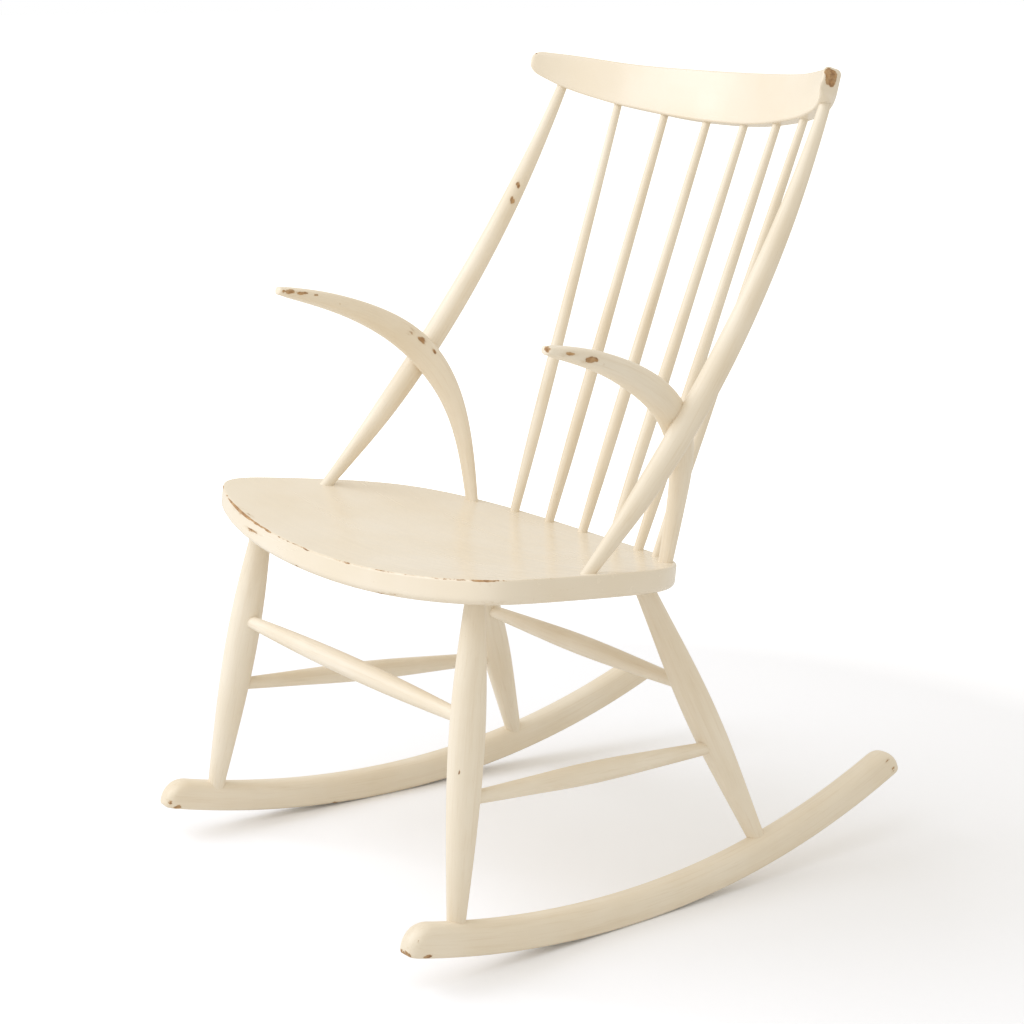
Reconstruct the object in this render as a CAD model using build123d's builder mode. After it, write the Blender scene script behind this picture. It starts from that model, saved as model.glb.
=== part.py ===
from build123d import *
from math import asin, cos, degrees, radians, sin, sqrt, tan
import os

# A painted wooden rocking chair with a spindle back, built as the joiner's separate pieces.
# Millimetres. The floor is z = 0, the sitter faces -Y, and left and right are the sitter's own,
# so the left side lies at +X. Each left piece is drawn and the right one is its mirror image.

# ---- rockers: bars sawn to an arc, standing upright and toed in towards the back
rocker_front_radius = 1094  # of the underside, forward of the point that it rests on
rocker_rear_radius = 985.5
rocker_depth = 33
rocker_width = 29
rocker_top_round = 12
rocker_sole_round = 4.5
rocker_nose_round = 25  # upper corner of each tip, seen from the side
rocker_front_reach = 295.6  # from the resting point forward to the front tip
rocker_rear_reach = 400.4
rocker_half_spacing = 240.5  # from the middle of the chair to a rocker's centre plane
rocker_toe_in = 2.6  # degrees

# ---- seat: one thick board, bent to a shallow trough and tilted down to the back
seat_width = 562.5
seat_depth = 395.5
seat_thickness = 25.5
seat_bend_radius = 1580
seat_tilt = 6.15  # degrees
seat_front_y = -295.3  # middle of the front edge, on top
seat_front_height = 390.4
seat_top_round = 2.5
seat_bottom_round = 7

# ---- turned legs, raked and splayed between the rockers and the seat
front_foot_reach = 227.1  # from the resting point forward to the front feet
back_foot_reach = 184.4
foot_inset = 4.5  # feet stand this far inside the rocker's centre plane
front_leg_from_front = 67.5
front_leg_half_spread = 211
back_leg_from_back = 76
back_leg_half_spread = 164.5
leg_foot_diameter = 19.5
leg_top_diameter = 20.5
front_leg_swell = [(60, 27.8), (118, 34.0), (172, 36.6), (231, 34.0), (279, 27.6)]
back_leg_swell = [(55, 27.0), (105, 33.2), (156, 35.5), (210, 32.7), (260, 26.9)]
leg_tenon_diameter = 15
leg_tenon_length = 15

# ---- turned stretchers
side_stretcher_front_height = 176.5
side_stretcher_back_height = 154.5
front_stretcher_height = 254.6
back_stretcher_height = 224.3
stretcher_end_diameter = 13
stretcher_belly_diameter = 23.2
stretcher_taper_length = 87  # from a leg's axis to where the taper is nearly full
stretcher_taper_diameter = 19
side_stretcher_belly = 158  # from the front leg's axis
stretcher_tenon_diameter = 10
stretcher_tenon_stop = 4  # tenons end this far from the leg's axis

# ---- back posts: round, bent to an arc, thick where the arms cross them; each diameter
# stands at a share of the post's length
post_from_front = 173.5
post_side_inset = 21
post_half_spread_at_crest = 229.5
post_bow = 27
post_side_bow = 4
post_diameters = [(0, 13.0), (0.09, 18.2), (0.175, 23.4), (0.285, 26.7), (0.38, 27.2),
                  (0.50, 26.5), (0.62, 24.3), (0.76, 20.8), (0.88, 16.5), (1, 12.2)]
post_foot_tenon_diameter = 11
post_crest_tenon_diameter = 9.5

# ---- arms: bent sticks that sweep down past the posts into the seat
arm_foot_half_spread = 182
arm_foot_inset = 14.5
arm_lap = 6.9  # how far the arm's and the post's thickest sections overlap where they cross
arm_crossing_height = 529.6
arm_route = [(30.6, -178.5, 624.2), (23.4, -122.6, 610.0), (12.9, -63.5, 586.7),
             (4.1, -3.1, 544.6), (-11.5, 28.3, 491.5), (-27.5, 37.4, 438.9)]
arm_sections = [(0.3, 9.0, 6.5, 0.80), (4, 17.5, 9.5, 0.80), (12, 23.5, 11.8, 0.80),
                (26, 26.4, 14.5, 0.80), (57, 27.5, 19.1, 0.78), (94, 28.2, 23.6, 0.76),
                (128, 28.8, 28.0, 0.73), (162, 29.0, 32.1, 0.71), (196, 28.6, 34.4, 0.71),
                (226, 27.4, 33.3, 0.71), (260, 25.0, 28.6, 0.71), (316, 21.5, 20.0, 0.71),
                (356, 20.0, 15.6, 0.71)]
arm_foot_width = 18.8
arm_foot_thickness = 12.2
arm_tenon_diameter = 10.5

# ---- back spindles, in two mirrored threes
spindle_seat_offsets = [27.6, 83.4, 133.2]
spindle_crest_offsets = [32.6, 98.0, 162.3]
spindle_rear_inset = 11.5
spindle_diameters = [(0, 10.9), (40, 12.6), (83, 14.1), (151, 14.8), (219, 14.2), (287, 12.9),
                     (356, 11.9), (424, 10.7)]
spindle_crest_diameter = 9.2
spindle_tenon_diameter = 7.5
back_tenon_length = 14
crest_tenon_length = 18

# ---- crest rail: a board bent to an arc in plan and leaning back
crest_half_width = 257.5
crest_thickness = 18
crest_bend_radius = 424
crest_curl_radius = 187  # the ends bend more tightly
crest_curl_from = 205
crest_lean = 15  # degrees
crest_y = 267.3  # middle of the rail, at the height where the middle spindles enter it
crest_height = 811.6
crest_top = [(0, 55.2), (92, 54.0), (158, 52.4), (222, 51.8)]
crest_bottom = [(0, -3.6), (78, -2.0), (118, 0.6), (162, 3.6), (193.5, 7.3), (231, 15)]
crest_tip_top = 49
crest_tip_bottom = 25
crest_corner_round = 10
crest_edge_round = 2.5

# ---- making allowances
seat_scribe = 7  # extra length left on a member's end, then cut to its neighbour's surface
crest_scribe = 5
foot_scribe = 13
tenon_root = 6  # how far a tenon's solid starts inside its own member

rest_y = (rocker_front_reach - rocker_rear_reach) / 2
leg_girth = max(diameter for _, diameter in front_leg_swell + back_leg_swell)
post_girth = max(diameter for _, diameter in post_diameters)
arm_girth = max(width for _, width, _, _ in arm_sections)

seat_plane = Plane(
    origin=(0, seat_front_y, seat_front_height),
    x_dir=(1, 0, 0),
    z_dir=(0, sin(radians(seat_tilt)), cos(radians(seat_tilt))),
)
crest_plane = Plane(
    origin=(0, crest_y, crest_height),
    x_dir=(1, 0, 0),
    z_dir=(0, -cos(radians(crest_lean)), sin(radians(crest_lean))),
)
rocker_across = Vector(cos(radians(rocker_toe_in)), sin(radians(rocker_toe_in)), 0)
rocker_plane = Plane(
    origin=(rocker_half_spacing - rest_y * tan(radians(rocker_toe_in)), rest_y, 0),
    x_dir=(-sin(radians(rocker_toe_in)), cos(radians(rocker_toe_in)), 0),
    z_dir=rocker_across,
)

os.makedirs("parts", exist_ok=True)


def save(part, name):
    """Label a finished piece and write it."""
    part.label = name
    export_step(part, f"parts/{name}.step")


def save_pair(part, name):
    """Write a left-hand piece and its mirror image."""
    with BuildPart() as other_hand:
        add(mirror(part, about=Plane.YZ))
    save(part, f"{name}_left")
    save(other_hand.part, f"{name}_right")


def both_hands(part):
    """A left-hand solid together with its mirror image."""
    return [part, mirror(part, about=Plane.YZ)]


def peg(shoulder, direction, diameter, length, root=tenon_root):
    """A round tenon: it starts a little inside its own member and runs on past the shoulder."""
    with BuildPart(Plane(origin=shoulder - direction * root, z_dir=direction)) as tenon:
        Cylinder(diameter / 2, root + length, align=(Align.CENTER, Align.CENTER, Align.MIN))
    return tenon.part


def turned(start, end, stations):
    """A member turned between two points; each station is (distance from the start, diameter)."""
    along = (end - start).normalized()
    across = Plane(origin=start, z_dir=along).x_dir
    with BuildPart() as member:
        with BuildSketch(Plane(origin=start, x_dir=along, z_dir=across)):
            with BuildLine():
                profile = Spline([(distance, diameter / 2) for distance, diameter in stations])
                Polyline(profile @ 1, (stations[-1][0], 0), (stations[0][0], 0), profile @ 0)
            make_face()
        revolve(axis=Axis(start, along))
    return member.part


def first_place(edge, start, is_past):
    """The first place along an edge, from a share of it on, that is past what a test looks for."""
    low, high = start, 1.0
    for _ in range(30):
        middle = (low + high) / 2
        if is_past(edge @ middle):
            high = middle
        else:
            low = middle
    return edge @ high


def cross_plane(route, distance):
    """The plane square across a bent stick's centre line, with its x axis as level as it can be."""
    here = route.position_at(distance, position_mode=PositionMode.LENGTH)
    along = route.tangent_at(distance, position_mode=PositionMode.LENGTH)
    level = Vector(1, 0, 0) - along * along.X
    return Plane(origin=here, x_dir=level, z_dir=along)


def fitted(body, neighbours, tenons):
    """A member's body cut to its neighbours' surfaces, with its tenons put on."""
    with BuildPart() as member:
        add(body)
        add(neighbours, mode=Mode.SUBTRACT)
        add(tenons)
    return member.part


def mortised(blank, tenons):
    """A blank with a mortise cut for each tenon."""
    with BuildPart() as piece:
        add(blank)
        add(tenons, mode=Mode.SUBTRACT)
    return piece.part


# ---- rockers


def rocker_top_point(reach):
    """Where a foot stands: on the rocker's top, at a distance behind the resting point."""
    radius = rocker_front_radius if reach < 0 else rocker_rear_radius
    rise = radius - sqrt((radius - rocker_depth) ** 2 - reach**2)
    return rocker_plane.from_local_coords(Vector(reach, rise, -foot_inset))


def is_sole_edge(edge):
    """Whether an edge of a rocker goes round its underside."""
    place = rocker_plane.to_local_coords(edge @ 0.5)
    radius = rocker_front_radius if place.X < 0 else rocker_rear_radius
    from_arc = Vector(place.X, place.Y - radius, 0).length - radius
    return abs(from_arc) < 0.01 and abs(place.X) > 1


def rocker_bar():
    """The left rocker before it is bored for the feet: two arcs that meet at the resting point."""
    front = degrees(asin(rocker_front_reach / rocker_front_radius))
    rear = degrees(asin(rocker_rear_reach / rocker_rear_radius))
    front_centre = (0, rocker_front_radius)
    rear_centre = (0, rocker_rear_radius)
    with BuildPart() as bar:
        with BuildSketch(rocker_plane.offset(-rocker_width / 2)):
            with BuildLine():
                front_sole = CenterArc(front_centre, rocker_front_radius, -90 - front, front)
                rear_sole = CenterArc(rear_centre, rocker_rear_radius, -90, rear)
                front_top = CenterArc(
                    front_centre, rocker_front_radius - rocker_depth, -90 - front, front
                )
                rear_top = CenterArc(rear_centre, rocker_rear_radius - rocker_depth, -90, rear)
                Line(front_sole @ 0, front_top @ 0)
                Line(rear_sole @ 1, rear_top @ 1)
            outline = make_face()
            corners = outline.vertices().sort_by(Axis.X)
            fillet([corners[1], corners[-2]], rocker_nose_round)
        extrude(amount=rocker_width)
        sides = bar.faces().sort_by(SortBy.AREA)[-2:]
        fillet(sides.edges().filter_by(lambda edge: not is_sole_edge(edge)), rocker_top_round)
        fillet(bar.edges().filter_by(is_sole_edge), rocker_sole_round)
    return bar.part


# ---- seat


def seat_point(across, from_front, below=0):
    """A point on the seat's bent top surface, or below it."""
    dish = seat_bend_radius - sqrt(seat_bend_radius**2 - across**2)
    return seat_plane.from_local_coords(Vector(across, from_front, dish - below))


def seat_outline():
    """The left half of the seat's edge, from the middle of the front to the middle of the back."""
    half = seat_width / 2
    return Spline(
        (0, 0),
        (half - 154.5, 6),
        (half - 54.5, 25.5),
        (half - 7, 52),
        (half, 115),
        (half - 12.5, 202),
        (half - 40, seat_depth - 110),
        (half - 100.5, seat_depth - 46.5),
        (half - 189, seat_depth - 9.5),
        (0, seat_depth),
        tangents=[(1, 0), (-1, 0)],
    )


def rear_edge(across):
    """Distance from the seat's front to its rear edge, at a distance from the middle."""
    return first_place(seat_outline(), 0.5, lambda place: place.X < across).Y


def side_edge(from_front):
    """Distance from the middle to the seat's side edge, behind its widest place."""
    return first_place(seat_outline(), 0.5, lambda place: place.Y > from_front).X


def seat_blank():
    """The seat before it is bored."""
    with BuildPart() as blank:
        with BuildSketch(seat_plane.offset(-2 * seat_thickness)):
            with BuildLine():
                seat_outline()
                mirror(about=Plane.YZ)
            make_face()
        extrude(amount=4 * seat_thickness)
        front = Plane(seat_plane.origin, x_dir=(1, 0, 0), z_dir=-seat_plane.y_dir)
        with BuildSketch(front.offset(seat_thickness)):
            with Locations((0, seat_bend_radius)):
                Circle(seat_bend_radius + seat_thickness)
                Circle(seat_bend_radius, mode=Mode.SUBTRACT)
            Rectangle(seat_width * 1.2, seat_width, mode=Mode.INTERSECT)
        extrude(amount=-seat_depth - 2 * seat_thickness, mode=Mode.INTERSECT)
        upward = Axis(seat_plane.origin, seat_plane.z_dir)
        fillet(blank.faces().sort_by(upward)[0].edges(), seat_bottom_round)
        fillet(blank.faces().sort_by(upward)[-1].edges(), seat_top_round)
    return blank.part


# ---- legs


def leg_line(reach, across, from_front):
    """A leg's axis, from the rocker's top to the seat's underside."""
    return rocker_top_point(reach), seat_point(across, from_front, seat_thickness)


def leg_body(line, swell):
    """A turned leg, left long at both ends."""
    length = (line[1] - line[0]).length
    foot = [(-foot_scribe, leg_foot_diameter), (0, leg_foot_diameter)]
    top = [(length, leg_top_diameter), (length + seat_scribe, leg_top_diameter)]
    return turned(*line, [*foot, *swell, *top])


def leg_tenons(line):
    """The tenons at a leg's foot and top."""
    up = (line[1] - line[0]).normalized()
    return [
        peg(line[0], -up, leg_tenon_diameter, leg_tenon_length),
        peg(line[1], up, leg_tenon_diameter, leg_tenon_length),
    ]


def at_height(line, height):
    """The point of a leg's axis at a height above the floor."""
    foot, top = line
    return foot + (top - foot) * ((height - foot.Z) / (top.Z - foot.Z))


# ---- stretchers


def level_ends(left):
    """The ends of a stretcher that runs level from the left leg to the right one."""
    return left, Vector(-left.X, left.Y, left.Z)


def stretcher_body(start, end, belly):
    """A turned stretcher between two leg axes, thickest at a distance from its start."""
    length = (end - start).length
    near = stretcher_taper_length
    return turned(
        start,
        end,
        [
            (0, stretcher_end_diameter),
            (near * 0.4, stretcher_end_diameter + 2.6),
            (near, stretcher_taper_diameter),
            (belly, stretcher_belly_diameter),
            (length - near, stretcher_taper_diameter),
            (length - near * 0.4, stretcher_end_diameter + 2.6),
            (length, stretcher_end_diameter),
        ],
    )


def stretcher_tenons(start, end):
    """The tenons that run through the legs' surfaces and stop short of their axes."""
    along = (end - start).normalized()
    reach = leg_girth / 2
    length = reach - stretcher_tenon_stop
    return [
        peg(start + along * reach, -along, stretcher_tenon_diameter, length),
        peg(end - along * reach, along, stretcher_tenon_diameter, length),
    ]


# ---- crest rail


def crest_upper():
    """The left half of the rail's upper edge, in the leaning plane."""
    return Spline(*crest_top, (crest_half_width, crest_tip_top), tangents=[(1, 0), (1, -0.1)])


def crest_lower():
    """The left half of the rail's lower edge, in the leaning plane."""
    return Spline(*crest_bottom, (crest_half_width, crest_tip_bottom), tangents=[(1, 0), (1, 0.35)])


def crest_point(across):
    """Where a stick enters the rail: on its lower edge, in the middle of its thickness."""
    low = first_place(crest_lower(), 0, lambda place: place.X > across).Y
    curl, _ = crest_curl()
    centre = curl if across > crest_curl_from else Vector(0, -crest_bend_radius)
    radius = crest_curl_radius if across > crest_curl_from else crest_bend_radius
    forward = -centre.Y - sqrt(radius**2 - (across - centre.X) ** 2)
    return crest_plane.from_local_coords(Vector(across, low, forward))


def crest_curl():
    """In plan, the centre of the left end's tighter bend, and the angle where it takes over."""
    turn = asin(crest_curl_from / crest_bend_radius)
    gap = crest_bend_radius - crest_curl_radius
    return Vector(gap * sin(turn), gap * cos(turn) - crest_bend_radius), degrees(turn)


def is_on_crest_rim(edge):
    """Whether an edge goes round the rail's front or back."""
    along = edge % 0.5
    through = abs(along.dot(crest_plane.z_dir)) > 0.99
    upright = abs(along.dot(crest_plane.y_dir)) > 0.99
    return not through and not (upright and abs(edge.center().X) < crest_half_width - 1)


def crest_blank():
    """The crest rail before it is bored."""
    with BuildPart() as rail:
        with BuildSketch(crest_plane):
            with BuildLine():
                upper = crest_upper()
                lower = crest_lower()
                Line(upper @ 1, lower @ 1)
                mirror(about=Plane.YZ)
            elevation = make_face()
            fillet(elevation.vertices().filter_by(is_at_crest_end), crest_corner_round)
        extrude(amount=crest_half_width, both=True)
        plan = Plane(crest_plane.origin, x_dir=(1, 0, 0), z_dir=crest_plane.y_dir)
        curl, turn = crest_curl()
        beyond = 35  # degrees, past the end of the rail
        with BuildSketch(plan):
            with BuildLine():
                ends = []
                for half in (crest_thickness / 2, -crest_thickness / 2):
                    CenterArc((0, -crest_bend_radius), crest_bend_radius + half, 90 - turn, turn)
                    curled = CenterArc(
                        (curl.X, curl.Y), crest_curl_radius + half, 90 - turn - beyond, beyond
                    )
                    ends.append(curled @ 0)
                Line(*ends)
                mirror(about=Plane.YZ)
            make_face()
        extrude(amount=crest_half_width, both=True, mode=Mode.INTERSECT)
        fillet(rail.edges().filter_by(is_on_crest_rim), crest_edge_round)
    return rail.part


def is_at_crest_end(corner):
    """Whether a corner of the rail's elevation is at one of its ends."""
    return abs(abs(corner.X) - crest_half_width) < crest_corner_round


# ---- back posts


def post_route():
    """The left post's centre line: an arc from the seat to the crest rail."""
    foot = seat_point(side_edge(post_from_front) - post_side_inset, post_from_front)
    top = crest_point(post_half_spread_at_crest)
    chord = (top - foot).normalized()
    outward = Vector(1, 0, 0)
    backward = chord.cross(outward).normalized()
    middle = (foot + top) / 2 + backward * post_bow + outward * post_side_bow
    return ThreePointArc(foot, middle, top)


def post_body(route):
    """The left post, left long at both ends."""
    with BuildPart() as post:
        with BuildSketch(cross_plane(route, 0).offset(-seat_scribe)):
            Circle(post_diameters[0][1] / 2)
        for share, diameter in post_diameters:
            with BuildSketch(cross_plane(route, share * route.length)):
                Circle(diameter / 2)
        with BuildSketch(cross_plane(route, route.length).offset(crest_scribe)):
            Circle(post_diameters[-1][1] / 2)
        loft()
    return post.part


def post_tenons(route):
    """Round tenons in line with the post's two ends."""
    return [
        peg(route @ 0, -(route % 0), post_foot_tenon_diameter, back_tenon_length),
        peg(route @ 1, route % 1, post_crest_tenon_diameter, crest_tenon_length),
    ]


# ---- arms


def arm_centre_line():
    """The left arm's centre line, from its tip past the post and down to the seat."""
    beside_post = first_place(post_route(), 0, lambda place: place.Z > arm_crossing_height)
    clear = (post_girth + arm_girth) / 2 - arm_lap
    points = [(beside_post.X - clear + across, y, z) for across, y, z in arm_route]
    foot = seat_point(arm_foot_half_spread, rear_edge(arm_foot_half_spread) - arm_foot_inset)
    return Spline(*points, foot)


def arm_outline(width, thickness, shoulder):
    """A rounded section whose upper shoulders stand at a share of its half width and thickness."""
    across, deep = width / 2, thickness / 2
    low = sqrt(0.5)
    return Spline(
        (across, 0),
        (low * across, low * deep),
        (0, deep),
        (-low * across, low * deep),
        (-across, 0),
        (-shoulder * across, -shoulder * deep),
        (0, -deep),
        (shoulder * across, -shoulder * deep),
        periodic=True,
    )


def arm_body(route):
    """The left arm, left long at its foot."""
    foot = (arm_foot_width, arm_foot_thickness, sqrt(0.5))
    last = cross_plane(route, route.length)
    sections = [(cross_plane(route, distance), size) for distance, *size in arm_sections]
    with BuildPart() as arm:
        for plane, size in [*sections, (last, foot), (last.offset(seat_scribe), foot)]:
            with BuildSketch(plane):
                with BuildLine():
                    arm_outline(*size)
                make_face()
        loft()
    return arm.part


# ---- spindles


def spindle_line(seat_offset, crest_offset):
    """A spindle's axis, from the seat's top to the crest rail."""
    return seat_point(seat_offset, rear_edge(seat_offset) - spindle_rear_inset), crest_point(crest_offset)


def spindle_body(line):
    """A turned spindle, left long at both ends."""
    length = (line[1] - line[0]).length
    foot = (-seat_scribe, spindle_diameters[0][1])
    top = [(length, spindle_crest_diameter), (length + crest_scribe, spindle_crest_diameter)]
    return turned(*line, [foot, *spindle_diameters, *top])


def spindle_tenons(line):
    """The tenons at a spindle's foot and top."""
    up = (line[1] - line[0]).normalized()
    return [
        peg(line[0], -up, spindle_tenon_diameter, back_tenon_length),
        peg(line[1], up, spindle_tenon_diameter, crest_tenon_length),
    ]


# ---- blanks, and the lines that the members follow
bar = rocker_bar()
board = seat_blank()
rail = crest_blank()

front_line = leg_line(-front_foot_reach, front_leg_half_spread, front_leg_from_front)
back_line = leg_line(back_foot_reach, back_leg_half_spread, seat_depth - back_leg_from_back)
front_body = leg_body(front_line, front_leg_swell)
back_body = leg_body(back_line, back_leg_swell)

side_ends = at_height(front_line, side_stretcher_front_height), at_height(
    back_line, side_stretcher_back_height
)
front_ends = level_ends(at_height(front_line, front_stretcher_height))
back_ends = level_ends(at_height(back_line, back_stretcher_height))

post_line = post_route()
post = post_body(post_line)
post_pegs = post_tenons(post_line)
arm_line = arm_centre_line()
arm = arm_body(arm_line)
arm_peg = peg(arm_line @ 1, arm_line % 1, arm_tenon_diameter, back_tenon_length)
spindle_lines = [spindle_line(*offsets) for offsets in zip(spindle_seat_offsets, spindle_crest_offsets)]

# ---- legs
front_pegs = leg_tenons(front_line)
back_pegs = leg_tenons(back_line)
side_pegs = stretcher_tenons(*side_ends)
front_cross_pegs = stretcher_tenons(*front_ends)
back_cross_pegs = stretcher_tenons(*back_ends)
front_leg = mortised(fitted(front_body, [bar, board], front_pegs), [side_pegs[0], front_cross_pegs[0]])
back_leg = mortised(fitted(back_body, [bar, board], back_pegs), [side_pegs[1], back_cross_pegs[0]])
save_pair(front_leg, "front_leg")
save_pair(back_leg, "back_leg")
save_pair(mortised(bar, [front_pegs[0], back_pegs[0]]), "rocker")

# ---- stretchers
side_body = stretcher_body(*side_ends, side_stretcher_belly)
save_pair(fitted(side_body, [front_body, back_body], side_pegs), "side_stretcher")
for ends, legs, pegs, name in (
    (front_ends, both_hands(front_body), front_cross_pegs, "front_stretcher"),
    (back_ends, both_hands(back_body), back_cross_pegs, "back_stretcher"),
):
    middle = (ends[1] - ends[0]).length / 2
    save(fitted(stretcher_body(*ends, middle), legs, pegs), name)

# ---- back and arms
save_pair(fitted(post, [board, rail], post_pegs), "back_post")
save_pair(fitted(arm, [board, post], [arm_peg]), "arm")
spindle_pegs = [spindle_tenons(line) for line in spindle_lines]
for number, (line, pegs) in enumerate(zip(spindle_lines, spindle_pegs), start=1):
    save_pair(fitted(spindle_body(line), [board, rail], pegs), f"back_spindle_{number}")

# ---- seat and crest rail, bored for everything that stands in them
seat_pegs = [front_pegs[1], back_pegs[1], post_pegs[0], arm_peg, *[pegs[0] for pegs in spindle_pegs]]
save(mortised(board, [both for left in seat_pegs for both in both_hands(left)]), "seat")
rail_pegs = [post_pegs[1], *[pegs[1] for pegs in spindle_pegs]]
save(mortised(rail, [both for left in rail_pegs for both in both_hands(left)]), "crest_rail")
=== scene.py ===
"""A painted wooden rocking chair with a spindle back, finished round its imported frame.

Sizes are in millimetres and are turned to metres where a mesh is made. The floor is z = 0, the
sitter faces -Y and the sitter's left is +X. Each left piece is worked out and the right one is
its mirror image. Every mesh carries three fields for its paint: "grain", the place of a point in
the straight piece before it was bent, "arris", how near it is to a sharp edge, and "wear", how
much the paint has suffered there.
"""

import logging
import math
from dataclasses import dataclass
from enum import Enum

import bpy
import numpy as np
from mathutils import Matrix, Vector


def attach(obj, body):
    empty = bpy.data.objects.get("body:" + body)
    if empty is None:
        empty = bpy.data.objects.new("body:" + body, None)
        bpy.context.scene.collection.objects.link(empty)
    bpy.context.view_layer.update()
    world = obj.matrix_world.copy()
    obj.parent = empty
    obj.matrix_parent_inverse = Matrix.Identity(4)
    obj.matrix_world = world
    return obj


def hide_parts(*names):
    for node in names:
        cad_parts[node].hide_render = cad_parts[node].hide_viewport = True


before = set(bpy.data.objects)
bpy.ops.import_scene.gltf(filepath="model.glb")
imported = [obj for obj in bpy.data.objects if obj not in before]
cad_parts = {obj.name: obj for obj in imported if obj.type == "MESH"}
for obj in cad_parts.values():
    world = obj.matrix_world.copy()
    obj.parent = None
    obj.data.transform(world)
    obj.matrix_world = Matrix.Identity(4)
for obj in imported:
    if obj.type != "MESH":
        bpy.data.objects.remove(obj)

LOG = logging.getLogger("rocking_chair")
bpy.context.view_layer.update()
METRES = 0.001
FULL_TURN = 2 * math.pi
MIRROR = np.array([-1.0, 1.0, 1.0])
RING_GAP = 3.0
BLIND_END_ROUND = 1.5
Array = np.ndarray
Socket = bpy.types.NodeSocket
Pair = tuple[float, float]
Triple = tuple[float, float, float]
Values = float | Array


class Finish(Enum):
    """Which of the record's two finishes a piece has."""

    BOARD = "painted_board"
    STICK = "painted_stick"


# ---- curves and fields, as whole arrays


def spline(knots: Array, values: Array, at: Array) -> Array:
    """Natural cubic spline: straight lines plus cubic corrections that make the slopes meet.

    The knots (n,) increase. Values of (n,) or (n, k) give (m,) or (m, k) at the places (m,).
    """
    flat = values.ndim == 1
    table = values[:, None] if flat else values
    gap = np.diff(knots)
    size = len(knots)
    system = np.eye(size)
    right = np.zeros((size, table.shape[1]))
    inner = np.arange(1, size - 1)
    system[inner, inner - 1] = gap[:-1]
    system[inner, inner] = 2 * (gap[:-1] + gap[1:])
    system[inner, inner + 1] = gap[1:]
    rise = np.diff(table, axis=0) / gap[:, None]
    right[inner] = 6 * np.diff(rise, axis=0)
    bend = np.linalg.solve(system, right)
    cell = np.clip(np.searchsorted(knots, at, side="right") - 1, 0, size - 2)
    width = gap[cell][:, None]
    after = (at - knots[cell])[:, None]
    before = width - after
    result = (
        table[cell] * before / width
        + table[cell + 1] * after / width
        + (bend[cell] * (before**3 / width - before * width)) / 6
        + (bend[cell + 1] * (after**3 / width - after * width)) / 6
    )
    return result[:, 0] if flat else result


def unit(vectors: Array) -> Array:
    """The same directions at length 1."""
    return vectors / np.linalg.norm(vectors, axis=-1, keepdims=True)


def chord_lengths(points: Array) -> Array:
    """Distance along a line of points, from its first one."""
    steps = np.linalg.norm(np.diff(points, axis=0), axis=1)
    return np.concatenate([[0.0], np.cumsum(steps)])


def smooth(low: float, high: float, value: Array) -> Array:
    """A ramp from 0 at low to 1 at high with level ends: 3 t squared less 2 t cubed."""
    share = np.clip((value - low) / (high - low), 0, 1)
    return share * share * (3 - 2 * share)


def spaced(length: float, step: float, ends: float, fine: float = 0.35) -> Array:
    """Stations from 0 to a length: close together near both ends, and a step apart between.

    The spacing near the ends grows as the square of the count, so a rounded end keeps its shape.
    """
    count = max(3, int(math.sqrt(ends / fine)))
    near = fine * np.arange(count) ** 2
    middle = np.linspace(near[-1], length - near[-1], max(3, int((length - 2 * near[-1]) / step)))
    return np.concatenate([near[:-1], middle, (length - near[:-1])[::-1]])


def quarter_drop(distance: Array, radius: float) -> Array:
    """How far a quarter round of a radius has fallen at a distance from the end that it meets."""
    inside = np.clip(radius - distance, 0, radius)
    return radius - np.sqrt(radius**2 - inside**2)


def grid(*parts: Values) -> Array:
    """Values joined along a new last axis, each spread over the whole grid."""
    return np.stack(np.broadcast_arrays(*parts), -1)


# ---- meshes


def placed(name: str, data: bpy.types.ID) -> bpy.types.Object:
    """A new object in the scene."""
    made = bpy.data.objects.new(name, data)
    bpy.context.scene.collection.objects.link(made)
    return made


@dataclass
class WearSpot:
    """A place where the paint has been knocked or rubbed.

    Attributes:
        place: Its middle, in millimetres.
        reach: Its half sizes along the three axes, in millimetres.
        amount: 1 takes the paint off at its middle, less leaves flecks.
    """

    place: Triple
    reach: Triple
    amount: float

    def field(self, points: Array) -> Array:
        """The spot's share at each point: its amount at the middle, falling to 0 at its reach."""
        away = np.linalg.norm((points - np.array(self.place)) / np.array(self.reach), axis=-1)
        return self.amount * (1 - smooth(0.0, 1.0, away))


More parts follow.
